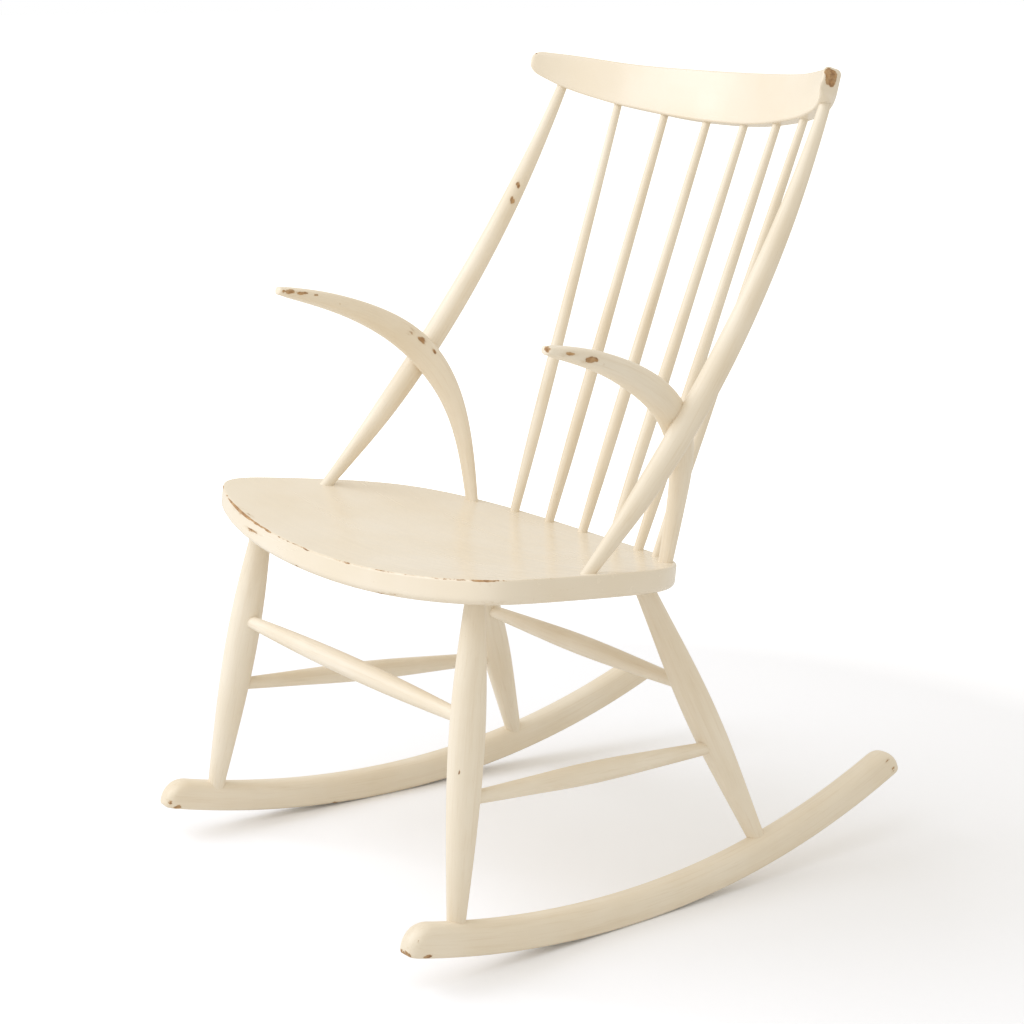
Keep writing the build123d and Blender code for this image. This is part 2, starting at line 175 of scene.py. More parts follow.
@dataclass
class Skin:
    """A closed surface on a grid: rings of points from one end of a piece to the other.

    Attributes:
        points: Shape (rings, round, 3), in millimetres.
        grain: The same places in the straight piece, shape (rings, round, 3).
        arris: Nearness to a sharp edge from 0 to 1, shape (rings, round) or one that spreads.
        wear: Lost paint from 0 to 1, in the same way.
    """

    points: Array
    grain: Array
    arris: Values = 0.0
    wear: Values = 0.0

    def __post_init__(self) -> None:
        """Spread the last two fields over the grid."""
        around = self.points.shape[:2]
        self.arris = np.broadcast_to(self.arris, around)
        self.wear = np.broadcast_to(self.wear, around)

    def worn(self, spots: tuple[WearSpot, ...]) -> "Skin":
        """The same skin with the strongest of the spots at each point."""
        for spot in spots:
            self.wear = np.maximum(self.wear, spot.field(self.points))
        return self

    def mirrored(self) -> "Skin":
        """The skin on the other side of the chair, with its rings turned round to face outward."""
        fields = (self.points * MIRROR, self.grain, self.arris, self.wear)
        return Skin(*(values[:, ::-1] for values in fields))

    def mesh(self, name: str) -> bpy.types.Object:
        """Make the object: quads between rings, and a fan of triangles at each end."""
        rings, around = self.points.shape[:2]
        ends = self.points[[0, -1]].mean(axis=1)
        points = np.concatenate([self.points.reshape(-1, 3), ends])
        here = np.arange(rings * around).reshape(rings, around)
        beside = np.roll(here, -1, axis=1)
        quads = grid(here[:-1], beside[:-1], beside[1:], here[1:]).reshape(-1, 4)
        start = grid(len(points) - 2, beside[0], here[0])
        stop = grid(len(points) - 1, here[-1], beside[-1])
        faces = quads.tolist() + start.tolist() + stop.tolist()
        if self._signed_volume(quads, points) < 0:
            faces = [face[::-1] for face in faces]
        mesh = bpy.data.meshes.new(name)
        mesh.from_pydata((points * METRES).tolist(), [], faces)
        self._put(mesh, "grain", "FLOAT_VECTOR", "vector", self.grain * METRES)
        self._put(mesh, "arris", "FLOAT", "value", self.arris)
        self._put(mesh, "wear", "FLOAT", "value", self.wear)
        mesh.polygons.foreach_set("use_smooth", np.ones(len(faces), bool))
        mesh.update()
        return placed(name, mesh)

    @staticmethod
    def _signed_volume(quads: Array, points: Array) -> float:
        """Six times the volume under the quads: each corner's triple product, summed."""
        a, b, c, d = (points[quads[:, corner]] for corner in range(4))
        return float((a * np.cross(b, c)).sum() + (a * np.cross(c, d)).sum())

    @staticmethod
    def _put(mesh: bpy.types.Mesh, name: str, kind: str, key: str, values: Array) -> None:
        """Store one field on the mesh's points, with a ring's mean at the middle of each end."""
        layer = mesh.attributes.new(name, kind, "POINT")
        flat = np.concatenate([values.ravel(), values[[0, -1]].mean(axis=1).ravel()])
        layer.data.foreach_set(key, flat.astype(np.float32))


def rounded_section(
    half: Array, low: Array, high: Array, low_round: Array,
    high_round: Array, per_corner: int, per_side: int,
) -> tuple[Array, Array]:
    """Rectangles with rounded corners, one for each station.

    They reach from low to high, and half to each side. Their corners are quarter circles of
    per_corner points, and each side between has per_side more. The results are the sections
    (n, m, 2) as (across, up), and how much each point is on a corner (m,).
    """
    quarter = np.linspace(0, math.pi / 2, per_corner)
    corners = []
    for number, (sign, level, radius, rise) in enumerate(
        ((1, low, low_round, 1), (1, high, high_round, -1),
         (-1, high, high_round, -1), (-1, low, low_round, 1))
    ):
        angle = quarter + (number - 1) * math.pi / 2
        across, up = sign * (half - radius), level + rise * radius
        corners.append(grid(across[:, None] + radius[:, None] * np.cos(angle),
                            up[:, None] + radius[:, None] * np.sin(angle)))
    shares = np.linspace(0, 1, per_side + 2)[1:-1][:, None]
    parts = []
    for corner, following in zip(corners, corners[1:] + corners[:1]):
        parts += [corner, corner[:, -1:] * (1 - shares) + following[:, :1] * shares]
    on_corner = np.tile(np.concatenate([np.sin(2 * quarter) ** 0.5, np.zeros(per_side)]), 4)
    return np.concatenate(parts, axis=1), on_corner


@dataclass
class Turned:
    """A member turned between two points.

    Attributes:
        stations: Pairs of distance from the start and diameter.
        run_on: How far the member runs on past each end, into its neighbours.
        around: Points round it.
        joint_reach: How far from each shoulder the paint is worn, by joint_wear.
    """

    start: Array
    end: Array
    stations: list[Pair]
    run_on: Pair
    around: int
    joint_reach: float = 5.0
    joint_wear: float = 0.20

    def skin(self) -> Skin:
        """Circles square to the axis, whose radius is a spline through the stations."""
        length = np.linalg.norm(self.end - self.start)
        along = (self.end - self.start) / length
        side = unit(np.cross(along, [0.0, 0.0, 1.0]))
        other = np.cross(along, side)
        whole = length + sum(self.run_on)
        place = spaced(whole, RING_GAP, ends=6.0) - self.run_on[0]
        knots, widths = np.array(self.stations, float).T
        radius = spline(knots, widths, np.clip(place, knots[0], knots[-1])) / 2
        to_end = np.minimum(place + self.run_on[0], length + self.run_on[1] - place)
        radius = radius - quarter_drop(to_end, BLIND_END_ROUND)
        turn = np.arange(self.around) / self.around * FULL_TURN
        flat = radius[:, None, None] * np.stack([np.cos(turn), np.sin(turn)], -1)[None]
        centre = self.start + place[:, None] * along
        points = centre[:, None] + flat[..., :1] * side + flat[..., 1:] * other
        grain = grid(place[:, None], flat[..., 0], flat[..., 1]) + self.start
        to_shoulder = np.minimum(np.abs(place), np.abs(length - place))
        wear = self.joint_wear * (1 - smooth(0, self.joint_reach, to_shoulder))
        return Skin(points, grain, wear=wear[:, None])


@dataclass
class Bent:
    """A stick carried along a bent centre line, with level-set sections.

    Attributes:
        centre: Points on the centre line, close together, shape (n, 3).
        half_width: Half the section's level size at each point.
        half_depth: Half its other size.
        shoulder: Power of the superellipse on the upper half, 2 for a plain ellipse.
        around: Points round it.
    """

    centre: Array
    half_width: Array
    half_depth: Array
    shoulder: Array
    around: int = 56

    def skin(self) -> Skin:
        """Sections square to the line.

        A section is the cosine of the turn times the half width, and its sine times the half
        depth, each to the power of two over the shoulder on the upper half.
        """
        along = unit(np.gradient(self.centre, axis=0))
        level = unit(np.array([1.0, 0, 0]) - along * along[:, :1])
        up = np.cross(level, along)
        turn = np.arange(self.around) / self.around * FULL_TURN
        power = np.where(np.sin(turn) > 0, 2 / self.shoulder[:, None], 1.0)
        across = np.sign(np.cos(turn)) * np.abs(np.cos(turn)) ** power * self.half_width[:, None]
        rise = np.sign(np.sin(turn)) * np.abs(np.sin(turn)) ** power * self.half_depth[:, None]
        points = self.centre[:, None] + across[..., None] * level[:, None]
        points = points + rise[..., None] * up[:, None]
        grain = grid(chord_lengths(self.centre)[:, None], across, rise) + self.centre[0]
        return Skin(points, grain)


# ---- finishes


@dataclass(frozen=True)
class Noise:
    """Fractal noise: waves to a metre, finer layers and their strength, and its stretch."""

    scale: float
    detail: float
    rough: float = 0.5
    stretch: Triple = (1, 1, 1)


class Sheet:
    """A shader node sheet with short ways to add and join nodes."""

    def __init__(self, owner: bpy.types.Material | bpy.types.World) -> None:
        """Empty the sheet of a material or a world."""
        owner.use_nodes = True
        self.owner = owner
        self.tree = owner.node_tree
        self.tree.nodes.clear()

    def node(self, kind: str, settings: dict | None = None, **inputs: object) -> bpy.types.Node:
        """Add a node of a kind, its type without "ShaderNode", with settings of its own.

        The inputs are its sockets by name, with _ for a space. A socket is linked, a value set.
        """
        made = self.tree.nodes.new("ShaderNode" + kind)
        for key, value in (settings or {}).items():
            setattr(made, key, value)
        for key, value in inputs.items():
            self.feed(made.inputs[key.replace("_", " ")], value)
        return made

    def feed(self, socket: Socket, value: object) -> None:
        """Link a socket to another, or set its value."""
        if isinstance(value, Socket):
            self.tree.links.new(value, socket)
        else:
            socket.default_value = value

    def plus(self, first: object, second: object) -> Socket:
        """The sum of two values."""
        return self.sum("ADD", first, second)

    def times(self, first: object, second: object) -> Socket:
        """The product of two values."""
        return self.sum("MULTIPLY", first, second)

    def sum(self, kind: str, first: object, second: object) -> Socket:
        """One step of arithmetic."""
        made = self.tree.nodes.new("ShaderNodeMath")
        made.operation = kind
        self.feed(made.inputs[0], first)
        self.feed(made.inputs[1], second)
        return made.outputs[0]

    def blend(self, share: object, first: object, second: object) -> Socket:
        """A mix of two colours."""
        made = self.tree.nodes.new("ShaderNodeMix")
        made.data_type = "RGBA"
        self.feed(made.inputs[0], share)
        self.feed(made.inputs[6], first)
        self.feed(made.inputs[7], second)
        return made.outputs[2]

    def step(
        self, value: object, low: float, high: float, top: float = 1.0
    ) -> Socket:
        """A clamped straight ramp from 0 at low to top at high."""
        return self.node(
            "MapRange", {"clamp": True}, Value=value, From_Min=low, From_Max=high, To_Max=top
        ).outputs[0]

    def noise(self, place: object, kind: Noise) -> Socket:
        """Noise from 0 to 1 on a place."""
        mapping = self.node("Mapping", Vector=place, Scale=kind.stretch)
        return self.node("TexNoise", Vector=mapping.outputs[0], Scale=kind.scale,
                         Detail=kind.detail, Roughness=kind.rough).outputs[0]

    def attribute(self, name: str, vector: bool = False) -> Socket:
        """A field of the mesh."""
        made = self.node("Attribute", {"attribute_name": name})
        return made.outputs["Vector" if vector else "Fac"]


PATCHES = Noise(9.0, 3.0)
BRUSH_MARKS = Noise(60.0, 5.0, 0.6, (0.06, 1, 1))
FIBRES = Noise(420.0, 3.0, 0.7, (0.03, 1, 1))
FLECKS = Noise(230.0, 5.0, 0.65, (0.3, 1, 1))
BLOTCHES = Noise(60.0, 4.0, 0.6, (0.4, 1, 1))
SPECKS = Noise(95.0, 2.0)
WOOD_FIBRES = Noise(260.0, 5.0, 0.7, (0.05, 1, 1))
WOOD_PATCHES = Noise(140.0, 3.0)


@dataclass(frozen=True)
class WornPaint:
    """Old cream paint brushed over wood: satin, a little yellowed, with the grain showing
    faintly through, and chipped and rubbed away where the fields of the mesh say so.

    Attributes:
        grain_show: How strongly the grain tells in the paint.
        arris_loss: How much paint the sharp edges have lost.
        relief: How strongly the brush marks and chips stand in the surface.
        cream: Colour of the sound paint, which is aged in patches and soiled where handled.
        wood: Colour of the bare wood, dark in its fibres and pale in patches.
        bare_at: The loss at which wood first shows, and at which no paint is left.
        thin_at: The loss at which the paint first is soiled, and at which it is so in full.
        coat: The paint's thickness, in metres.
    """

    name: str
    roughness: float
    grain_show: float
    arris_loss: float
    relief: float
    cream: Triple = (0.865, 0.785, 0.66)
    aged: Triple = (0.83, 0.735, 0.585)
    soiled: Triple = (0.66, 0.53, 0.36)
    wood: Triple = (0.50, 0.29, 0.13)
    dark: Triple = (0.22, 0.11, 0.05)
    pale: Triple = (0.62, 0.42, 0.23)
    streak_tone: float = 0.16
    brush_tone: float = 0.17
    speck_tone: float = 0.5
    fleck_share: float = 0.65
    blotch_share: float = 0.55
    wear_share: float = 0.62
    bare_at: Pair = (1.0, 1.035)
    thin_at: Pair = (0.86, 1.02)
    thin_tone: float = 0.45
    bare_roughness: float = 0.72
    coat: float = 0.0005
    refraction: float = 1.46

    def material(self) -> bpy.types.Material:
        """Build the node sheet.

        The loss of paint is a sum of shares of the wear field, the arris field and two noises.
        Where it passes a limit, the wood shows and the surface falls by the paint's thickness.
        """
        sheet = Sheet(bpy.data.materials.new(self.name))
        place = sheet.node("TexCoord").outputs["Object"]
        grain = sheet.attribute("grain", vector=True)
        brushed = sheet.noise(grain, BRUSH_MARKS)
        fibres = sheet.noise(grain, FIBRES)
        soiled = (*self.soiled, 1)

        patchy = sheet.step(sheet.noise(place, PATCHES), 0.35, 0.7)
        paint = sheet.blend(patchy, (*self.cream, 1), (*self.aged, 1))
        for share in (
            sheet.step(fibres, 0.53, 0.72, self.streak_tone * self.grain_show),
            sheet.step(brushed, 0.48, 0.72, self.brush_tone * self.grain_show),
            sheet.step(sheet.noise(place, SPECKS), 0.765, 0.80, self.speck_tone),
        ):
            paint = sheet.blend(share, paint, soiled)

        loss = sheet.times(sheet.attribute("wear"), self.wear_share)
        for field, share in (
            (sheet.attribute("arris"), self.arris_loss),
            (sheet.noise(grain, FLECKS), self.fleck_share),
            (sheet.noise(grain, BLOTCHES), self.blotch_share),
        ):
            loss = sheet.plus(loss, sheet.times(field, share))
        lost = sheet.step(loss, *self.bare_at)
        paint = sheet.blend(sheet.step(loss, *self.thin_at, self.thin_tone), paint, soiled)

        fibre_tone = sheet.step(sheet.noise(grain, WOOD_FIBRES), 0.35, 0.65)
        bare = sheet.blend(fibre_tone, (*self.wood, 1), (*self.dark, 1))
        pale = sheet.step(sheet.noise(place, WOOD_PATCHES), 0.45, 0.6, 0.55)
        bare = sheet.blend(pale, bare, (*self.pale, 1))

        rough = sheet.node("MapRange", {"clamp": True}, Value=brushed, From_Min=0.3, From_Max=0.7,
                           To_Min=self.roughness - 0.04, To_Max=self.roughness + 0.07).outputs[0]
        rough = sheet.sum("MAXIMUM", rough, sheet.times(lost, self.bare_roughness))
        height = sheet.sum("SUBTRACT", sheet.times(brushed, 0.5), lost)
        height = sheet.plus(height, sheet.times(fibres, 0.2 * self.grain_show))
        bump = sheet.node("Bump", Height=height, Strength=self.relief, Distance=self.coat)
        shader = sheet.node("BsdfPrincipled", Base_Color=sheet.blend(lost, paint, bare),
                            Roughness=rough, IOR=self.refraction, Normal=bump.outputs[0])
        sheet.node("OutputMaterial", Surface=shader.outputs[0])
        return sheet.owner


BOARD_PAINT = WornPaint("cream_paint_on_board", roughness=0.22, grain_show=0.07,
                        arris_loss=0.37, relief=0.04)
STICK_PAINT = WornPaint("cream_paint_on_sticks", roughness=0.34, grain_show=1.6,
                        arris_loss=0.26, relief=0.3, cream=(0.88, 0.805, 0.68))


@dataclass
class Dresser:
    """Puts a finished piece in its place on the frame."""

    finishes: dict[Finish, bpy.types.Material]

    def put(self, skin: Skin, name: str, kind: Finish) -> None:
        """Make a piece, paint it, and let it stand for its node."""
        piece = skin.mesh(name + "_painted")
        piece.data.materials.append(self.finishes[kind])
        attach(piece, "root")
        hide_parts(name)
        LOG.info("%s: %d faces", name, len(piece.data.polygons))

    def put_pair(self, skin: Skin, name: str, left_spots: tuple[WearSpot, ...] = (),
                 right_spots: tuple[WearSpot, ...] = ()) -> None:
        """Make a left stick and its mirror image, each with its own worn places."""
        other = skin.mirrored()
        self.put(skin.worn(left_spots), f"{name}_left", Finish.STICK)
        self.put(other.worn(right_spots), f"{name}_right", Finish.STICK)


# ---- worn places


def worn_places(*rows: tuple) -> tuple[WearSpot, ...]:
    """Places from rows of numbers: the middle, the half sizes and how much paint is lost."""
    return tuple(WearSpot(row[:3], row[3:6], row[6]) for row in rows)


CREST_SPOTS = worn_places(
    (257.5, 186.5, 873.5, 10, 13, 17, 1.9),
    (-250.5, 181, 882, 3, 3, 3, 0.8),
)
FAR_POST_SPOTS = worn_places(
    (-229.4, 138.6, 728.7, 6, 7, 11, 0.85),
    (-229, 130.6, 711.7, 7, 8, 14, 0.95),
)
NEAR_ARM_SPOTS = worn_places(
    (260.9, -177.8, 624.8, 9, 6, 6, 0.75),
    (268.8, -155, 619.8, 8, 24, 6, 0.68),
    (265.5, -127, 610.5, 7, 27, 10, 0.82),
    (261.5, -109.8, 604, 5, 5, 5, 0.85),
)
FAR_ARM_SPOTS = worn_places(
    (-248.7, -174.9, 624.1, 4, 5, 4, 0.8),
    (-246, -168, 623.8, 8, 14, 6, 0.88),
    (-242.6, -153, 620.9, 7, 16, 5, 0.9),
    (-239.5, -136.9, 617.9, 4, 9, 4, 0.85),
    (-238.3, -121.8, 615.2, 3, 3, 3, 0.85),
    (-221.4, -19.5, 568.4, 8, 20, 14, 0.78),
    (-219.5, -5.9, 556.8, 6, 16, 18, 0.85),
    (-216.5, 7.6, 541.8, 6, 11, 14, 0.82),
    (-209.8, 18.8, 517.4, 6, 7, 10, 0.55),
)
SEAT_SPOTS = worn_places(
    (-170, -282, 397, 150, 30, 9, 0.52),
    (-130, -290, 384, 110, 16, 6, 0.68),
    (262, -250, 404, 30, 30, 7, 0.45),
    (281, -165, 389, 9, 90, 4, 0.5),
)
ROCKER_SPOTS = worn_places(
    (256.8, -346, 42, 14, 8, 6, 0.9),
    (269.8, -326.5, 39, 8, 14, 6, 0.8),
    (265.4, -335, 59.5, 2.5, 2.5, 2.5, 0.9),
    (267, -337, 55.6, 2.5, 2.5, 2.5, 0.9),
    (240, 322, 97.7, 18, 16, 18, 0.62),
    (239.9, 331.9, 87.9, 16, 9, 10, 0.8),
)
FAR_ROCKER_SPOTS = worn_places(
    (-232.8, -128, 4.3, 6, 16, 6, 0.6),
    (-244.5, -342, 46.6, 10, 7, 7, 0.75),
    (-241, -333.5, 41, 10, 10, 5, 0.75),
)
FRONT_LEG_SPOTS = worn_places(
    (256.2, -281.5, 72.6, 2, 2.5, 3, 0.95),
    (241.5, -269.9, 209.6, 2, 2.5, 5, 0.9),
    (213.3, -262.8, 236.8, 3, 4, 9, 0.55),
)


# ---- the pieces


@dataclass
class Seat:
    """One thick board, bent to a shallow trough and tilted down to the back.

    The rim's places are pairs: how far in from the widest, and how far from the front or back.
    """

    spots: tuple[WearSpot, ...]
    width: float = 562.5
    depth: float = 395.5
    thickness: float = 25.5
    bend_radius: float = 1580.0
    tilt: float = math.radians(6.15)
    front_y: float = -295.3
    front_height: float = 390.4
    top_round: float = 2.5
    bottom_round: float = 7.0
    widest: float = 115.0
    rim_from_front: tuple = ((154.5, 6), (54.5, 25.5), (7, 52), (0, widest), (12.5, 202))
    rim_from_back: tuple = ((40, 110), (100.5, 46.5), (189, 9.5))
    corner_rings: int = 7
    side_rings: int = 5
    flat_rings: int = 40
    fine_count: int = 4000
    worn_front: Pair = (20, 170)

    def point(self, across: Values, from_front: Values, below: Values) -> Array:
        """Places on the board: the dish is a circle's rise across it, and the whole is tilted."""
        up = self.bend_radius - np.sqrt(self.bend_radius**2 - across**2) - below
        y = self.front_y + from_front * math.cos(self.tilt) + up * math.sin(self.tilt)
        z = self.front_height - from_front * math.sin(self.tilt) + up * math.cos(self.tilt)
        return grid(across, y, z)

    def outline(self, count: int = 420) -> Array:
        """The board's edge seen from above: a closed spline through the same places both sides."""
        half = self.width / 2
        left = np.array([
            *((half - inset, reach) for inset, reach in self.rim_from_front),
            *((half - inset, self.depth - reach) for inset, reach in self.rim_from_back),
        ])
        right = left[::-1] * np.array([-1.0, 1.0])
        once = np.concatenate([[(0.0, 0.0)], left, [(0.0, self.depth)], right])
        thrice = np.concatenate([once, once, once, once[:1]])
        length = chord_lengths(thrice)
        one = length[len(once)]
        at = one + np.arange(count) / count * one
        dense = spline(length, thrice, at)
        even = chord_lengths(np.concatenate([dense, dense[:1]]))
        share = np.arange(count) / count * even[-1]
        closed = np.concatenate([dense, dense[:1]])
        return np.stack([np.interp(share, even, closed[:, axis]) for axis in (0, 1)], -1)

    def rear_edge(self, across: float) -> float:
        """Distance from the front to the rear edge, at a distance from the middle."""
        return self.edge(across, (0, self.depth / 2), axis=0)

    def side_edge(self, from_front: float) -> float:
        """Distance from the middle to the side edge, behind the widest place."""
        return self.edge(from_front, (self.width / 4, self.widest), axis=1)

    def edge(self, at: float, limits: Pair, axis: int) -> float:
        """Where the rim that lies past two limits is, at a place along one axis."""
        rim = self.outline(self.fine_count)
        rim = rim[(rim > limits).all(axis=1)]
        rim = rim[np.argsort(rim[:, axis])]
        return float(np.interp(at, rim[:, axis], rim[:, 1 - axis]))

    def skin(self) -> Skin:
        """Rings that grow from the middle of the top to its rim, round the edge and back below.

        On the top and the underside a ring is the rim drawn in to a share of its size. Round
        the edge a ring is the rim moved inward by what the two quarter rounds have fallen.
        """
        rim = self.outline()
        ahead = np.roll(rim, -1, axis=0) - np.roll(rim, 1, axis=0)
        inward = unit(np.stack([-ahead[:, 1], ahead[:, 0]], -1))
        middle = np.array([0.0, self.depth * 0.5])
        turn = np.linspace(0, math.pi / 2, self.corner_rings)
        top, low, side = self.top_round, self.bottom_round, np.zeros(self.side_rings)
        inset = np.concatenate([top - top * np.sin(turn), side, low - low * np.cos(turn)])
        drop = np.concatenate([
            top - top * np.cos(turn),
            np.linspace(top, self.thickness - low, self.side_rings + 2)[1:-1],
            self.thickness - low + low * np.sin(turn),
        ])
        bulge = np.sin(2 * turn) ** 0.5
        sharp = np.concatenate([bulge, side, 0.75 * bulge])
        edge_rings = rim[None] + inward[None] * inset[:, None, None]
        shares = np.concatenate([[0.004], np.linspace(0.03, 1, self.flat_rings)[:-1] ** 0.8])
        top_rings = middle + (edge_rings[0] - middle)[None] * shares[:, None, None]
        low_rings = middle + (edge_rings[-1] - middle)[None] * shares[::-1, None, None]
        flat = np.concatenate([top_rings, edge_rings, low_rings])
        below = np.concatenate([np.zeros(len(shares)), drop, np.full(len(shares), self.thickness)])
        near_rim = smooth(0.985, 1.0, shares)
        arris = np.concatenate([0.7 * near_rim, sharp, 0.5 * near_rim[::-1]])
        points = self.point(flat[..., 0], flat[..., 1], below[:, None])
        grain = grid(flat[..., 0], flat[..., 1], -below[:, None])
        front = 1 - smooth(*self.worn_front, flat[..., 1])
        worn = arris[:, None] * (0.35 + 0.65 * front)
        return Skin(points, grain, worn).worn(self.spots)


@dataclass
class Rockers:
    """Two bars sawn to arcs, standing upright and toed in towards the back."""

    front_radius: float = 1094.0
    rear_radius: float = 985.5
    depth: float = 33.0
    width: float = 29.0
    top_round: float = 12.0
    sole_round: float = 4.5
    nose_round: float = 25.0
    front_reach: float = 295.6
    rear_reach: float = 400.4
    half_spacing: float = 240.5
    toe_in: float = math.radians(2.6)
    foot_inset: float = 4.5
    worn_tip: float = 30.0

    @property
    def rest_y(self) -> float:
        """Where the rockers touch the floor."""
        return (self.front_reach - self.rear_reach) / 2

    def point(self, back: Values, rise: Values, out: Values) -> Array:
        """Places from how far back, up and outward they are from the resting point."""
        x = self.half_spacing - self.rest_y * math.tan(self.toe_in)
        cos, sin = math.cos(self.toe_in), math.sin(self.toe_in)
        return grid(x - back * sin + out * cos, self.rest_y + back * cos + out * sin, rise)

    def top_point(self, reach: float) -> Array:
        """Where a foot stands on a rocker's top."""
        radius = self.front_radius if reach < 0 else self.rear_radius
        rise = radius - math.sqrt((radius - self.depth) ** 2 - reach**2)
        return self.point(reach, rise, -self.foot_inset)

    def skin(self) -> Skin:
        """Rounded sections square to the sole, which is two arcs that meet level at the floor.

        Near a tip the top falls by the nose's quarter round, and the sides draw in by the
        quarter round of the top's corners.
        """
        front = self.front_radius * math.asin(self.front_reach / self.front_radius)
        rear = self.rear_radius * math.asin(self.rear_reach / self.rear_radius)
        place = spaced(front + rear, step=4.0, ends=26.0, fine=0.12) - front
        radius = np.where(place < 0, self.front_radius, self.rear_radius)
        angle = place / radius
        tip = np.minimum(place + front, rear - place)
        nose = quarter_drop(tip, self.nose_round)
        corner = quarter_drop(tip, self.top_round)
        sole = quarter_drop(tip, self.sole_round)
        high = self.depth - nose * 0.985
        half = self.width / 2 - corner * 0.94
        room = high - sole
        top_round = np.minimum(self.top_round, np.minimum(0.55 * room, 0.92 * half))
        low_round = np.minimum(self.sole_round, np.minimum(0.35 * room, 0.9 * half))
        section, on_corner = rounded_section(
            half, sole, high, low_round, top_round, per_corner=10, per_side=6)
        reach = radius[:, None] - section[..., 1]
        back = reach * np.sin(angle)[:, None]
        rise = radius[:, None] - reach * np.cos(angle)[:, None]
        points = self.point(back, rise, section[..., 0])
        grain = grid(place[:, None], section[..., 0], section[..., 1])
        low_side = section[..., 1] < self.depth / 3
        at_tip = 1 - smooth(0, self.worn_tip, tip)
        arris = on_corner * np.where(low_side, 0.9, 0.25) * (0.45 + 0.55 * at_tip[:, None])
        return Skin(points, grain, arris)


@dataclass
class Undercarriage:
    """Turned legs and the stretchers between them."""

    seat: Seat
    rockers: Rockers
    front_reach: float = 227.1
    back_reach: float = 184.4
    front_from_front: float = 67.5
    front_spread: float = 211.0
    back_from_back: float = 76.0
    back_spread: float = 164.5
    foot_diameter: float = 19.5
    top_diameter: float = 20.5
    front_swell: tuple = ((60, 27.8), (118, 34.0), (172, 36.6), (231, 34.0), (279, 27.6))
    back_swell: tuple = ((55, 27.0), (105, 33.2), (156, 35.5), (210, 32.7), (260, 26.9))
    side_heights: Pair = (176.5, 154.5)
    front_height: float = 254.6
    back_height: float = 224.3
    end_diameter: float = 13.0
    belly_diameter: float = 23.2
    taper_length: float = 87.0
    taper_diameter: float = 19.0
    knee_length: float = 34.8
    knee_diameter: float = 15.6
    side_belly: float = 158.0

    def leg_line(self, reach: float, across: float, from_front: float) -> list[Array]:
        """A left leg's axis from the rocker's top to the seat's underside."""
        top = self.seat.point(across, from_front, self.seat.thickness)
        return [self.rockers.top_point(reach), top]

    def leg(self, line: list[Array], swell: tuple) -> Skin:
        """A turned leg, let into the rocker and the seat."""
        length = np.linalg.norm(line[1] - line[0])
        stations = [(0.0, self.foot_diameter), *swell, (length, self.top_diameter)]
        return Turned(*line, stations, run_on=(13.0, 6.0), around=64).skin()

    @staticmethod
    def at_height(line: list[Array], height: float) -> Array:
        """Where a leg's axis is at a height."""
        return line[0] + (line[1] - line[0]) * (height - line[0][2]) / (line[1][2] - line[0][2])

    def stretcher(self, start: Array, end: Array, belly: float | None = None) -> Skin:
        """A turned stretcher between two leg axes, thickest at a distance from its start."""
        length = np.linalg.norm(end - start)
        taper = ((0, self.end_diameter), (self.knee_length, self.knee_diameter),
                 (self.taper_length, self.taper_diameter))
        mirrored = ((length - place, diameter) for place, diameter in taper[::-1])
        stations = [*taper, (belly or length / 2, self.belly_diameter), *mirrored]
        return Turned(start, end, stations, run_on=(0.0, 0.0), around=40).skin()

    def build(self, dresser: Dresser) -> None:
        """Make the rockers, the legs and the stretchers."""
        front = self.leg_line(-self.front_reach, self.front_spread, self.front_from_front)
        from_front = self.seat.depth - self.back_from_back
        back = self.leg_line(self.back_reach, self.back_spread, from_front)
        dresser.put_pair(self.rockers.skin(), "rocker", ROCKER_SPOTS, FAR_ROCKER_SPOTS)
        dresser.put_pair(self.leg(front, self.front_swell), "front_leg", FRONT_LEG_SPOTS)
        dresser.put_pair(self.leg(back, self.back_swell), "back_leg")
        high, low = (self.at_height(*pair) for pair in zip((front, back), self.side_heights))
        dresser.put_pair(self.stretcher(high, low, self.side_belly), "side_stretcher")
        for line, height, name in (
            (front, self.front_height, "front_stretcher"),
            (back, self.back_height, "back_stretcher"),
        ):
            left = self.at_height(line, height)
            dresser.put(self.stretcher(left, left * MIRROR), name, Finish.STICK)


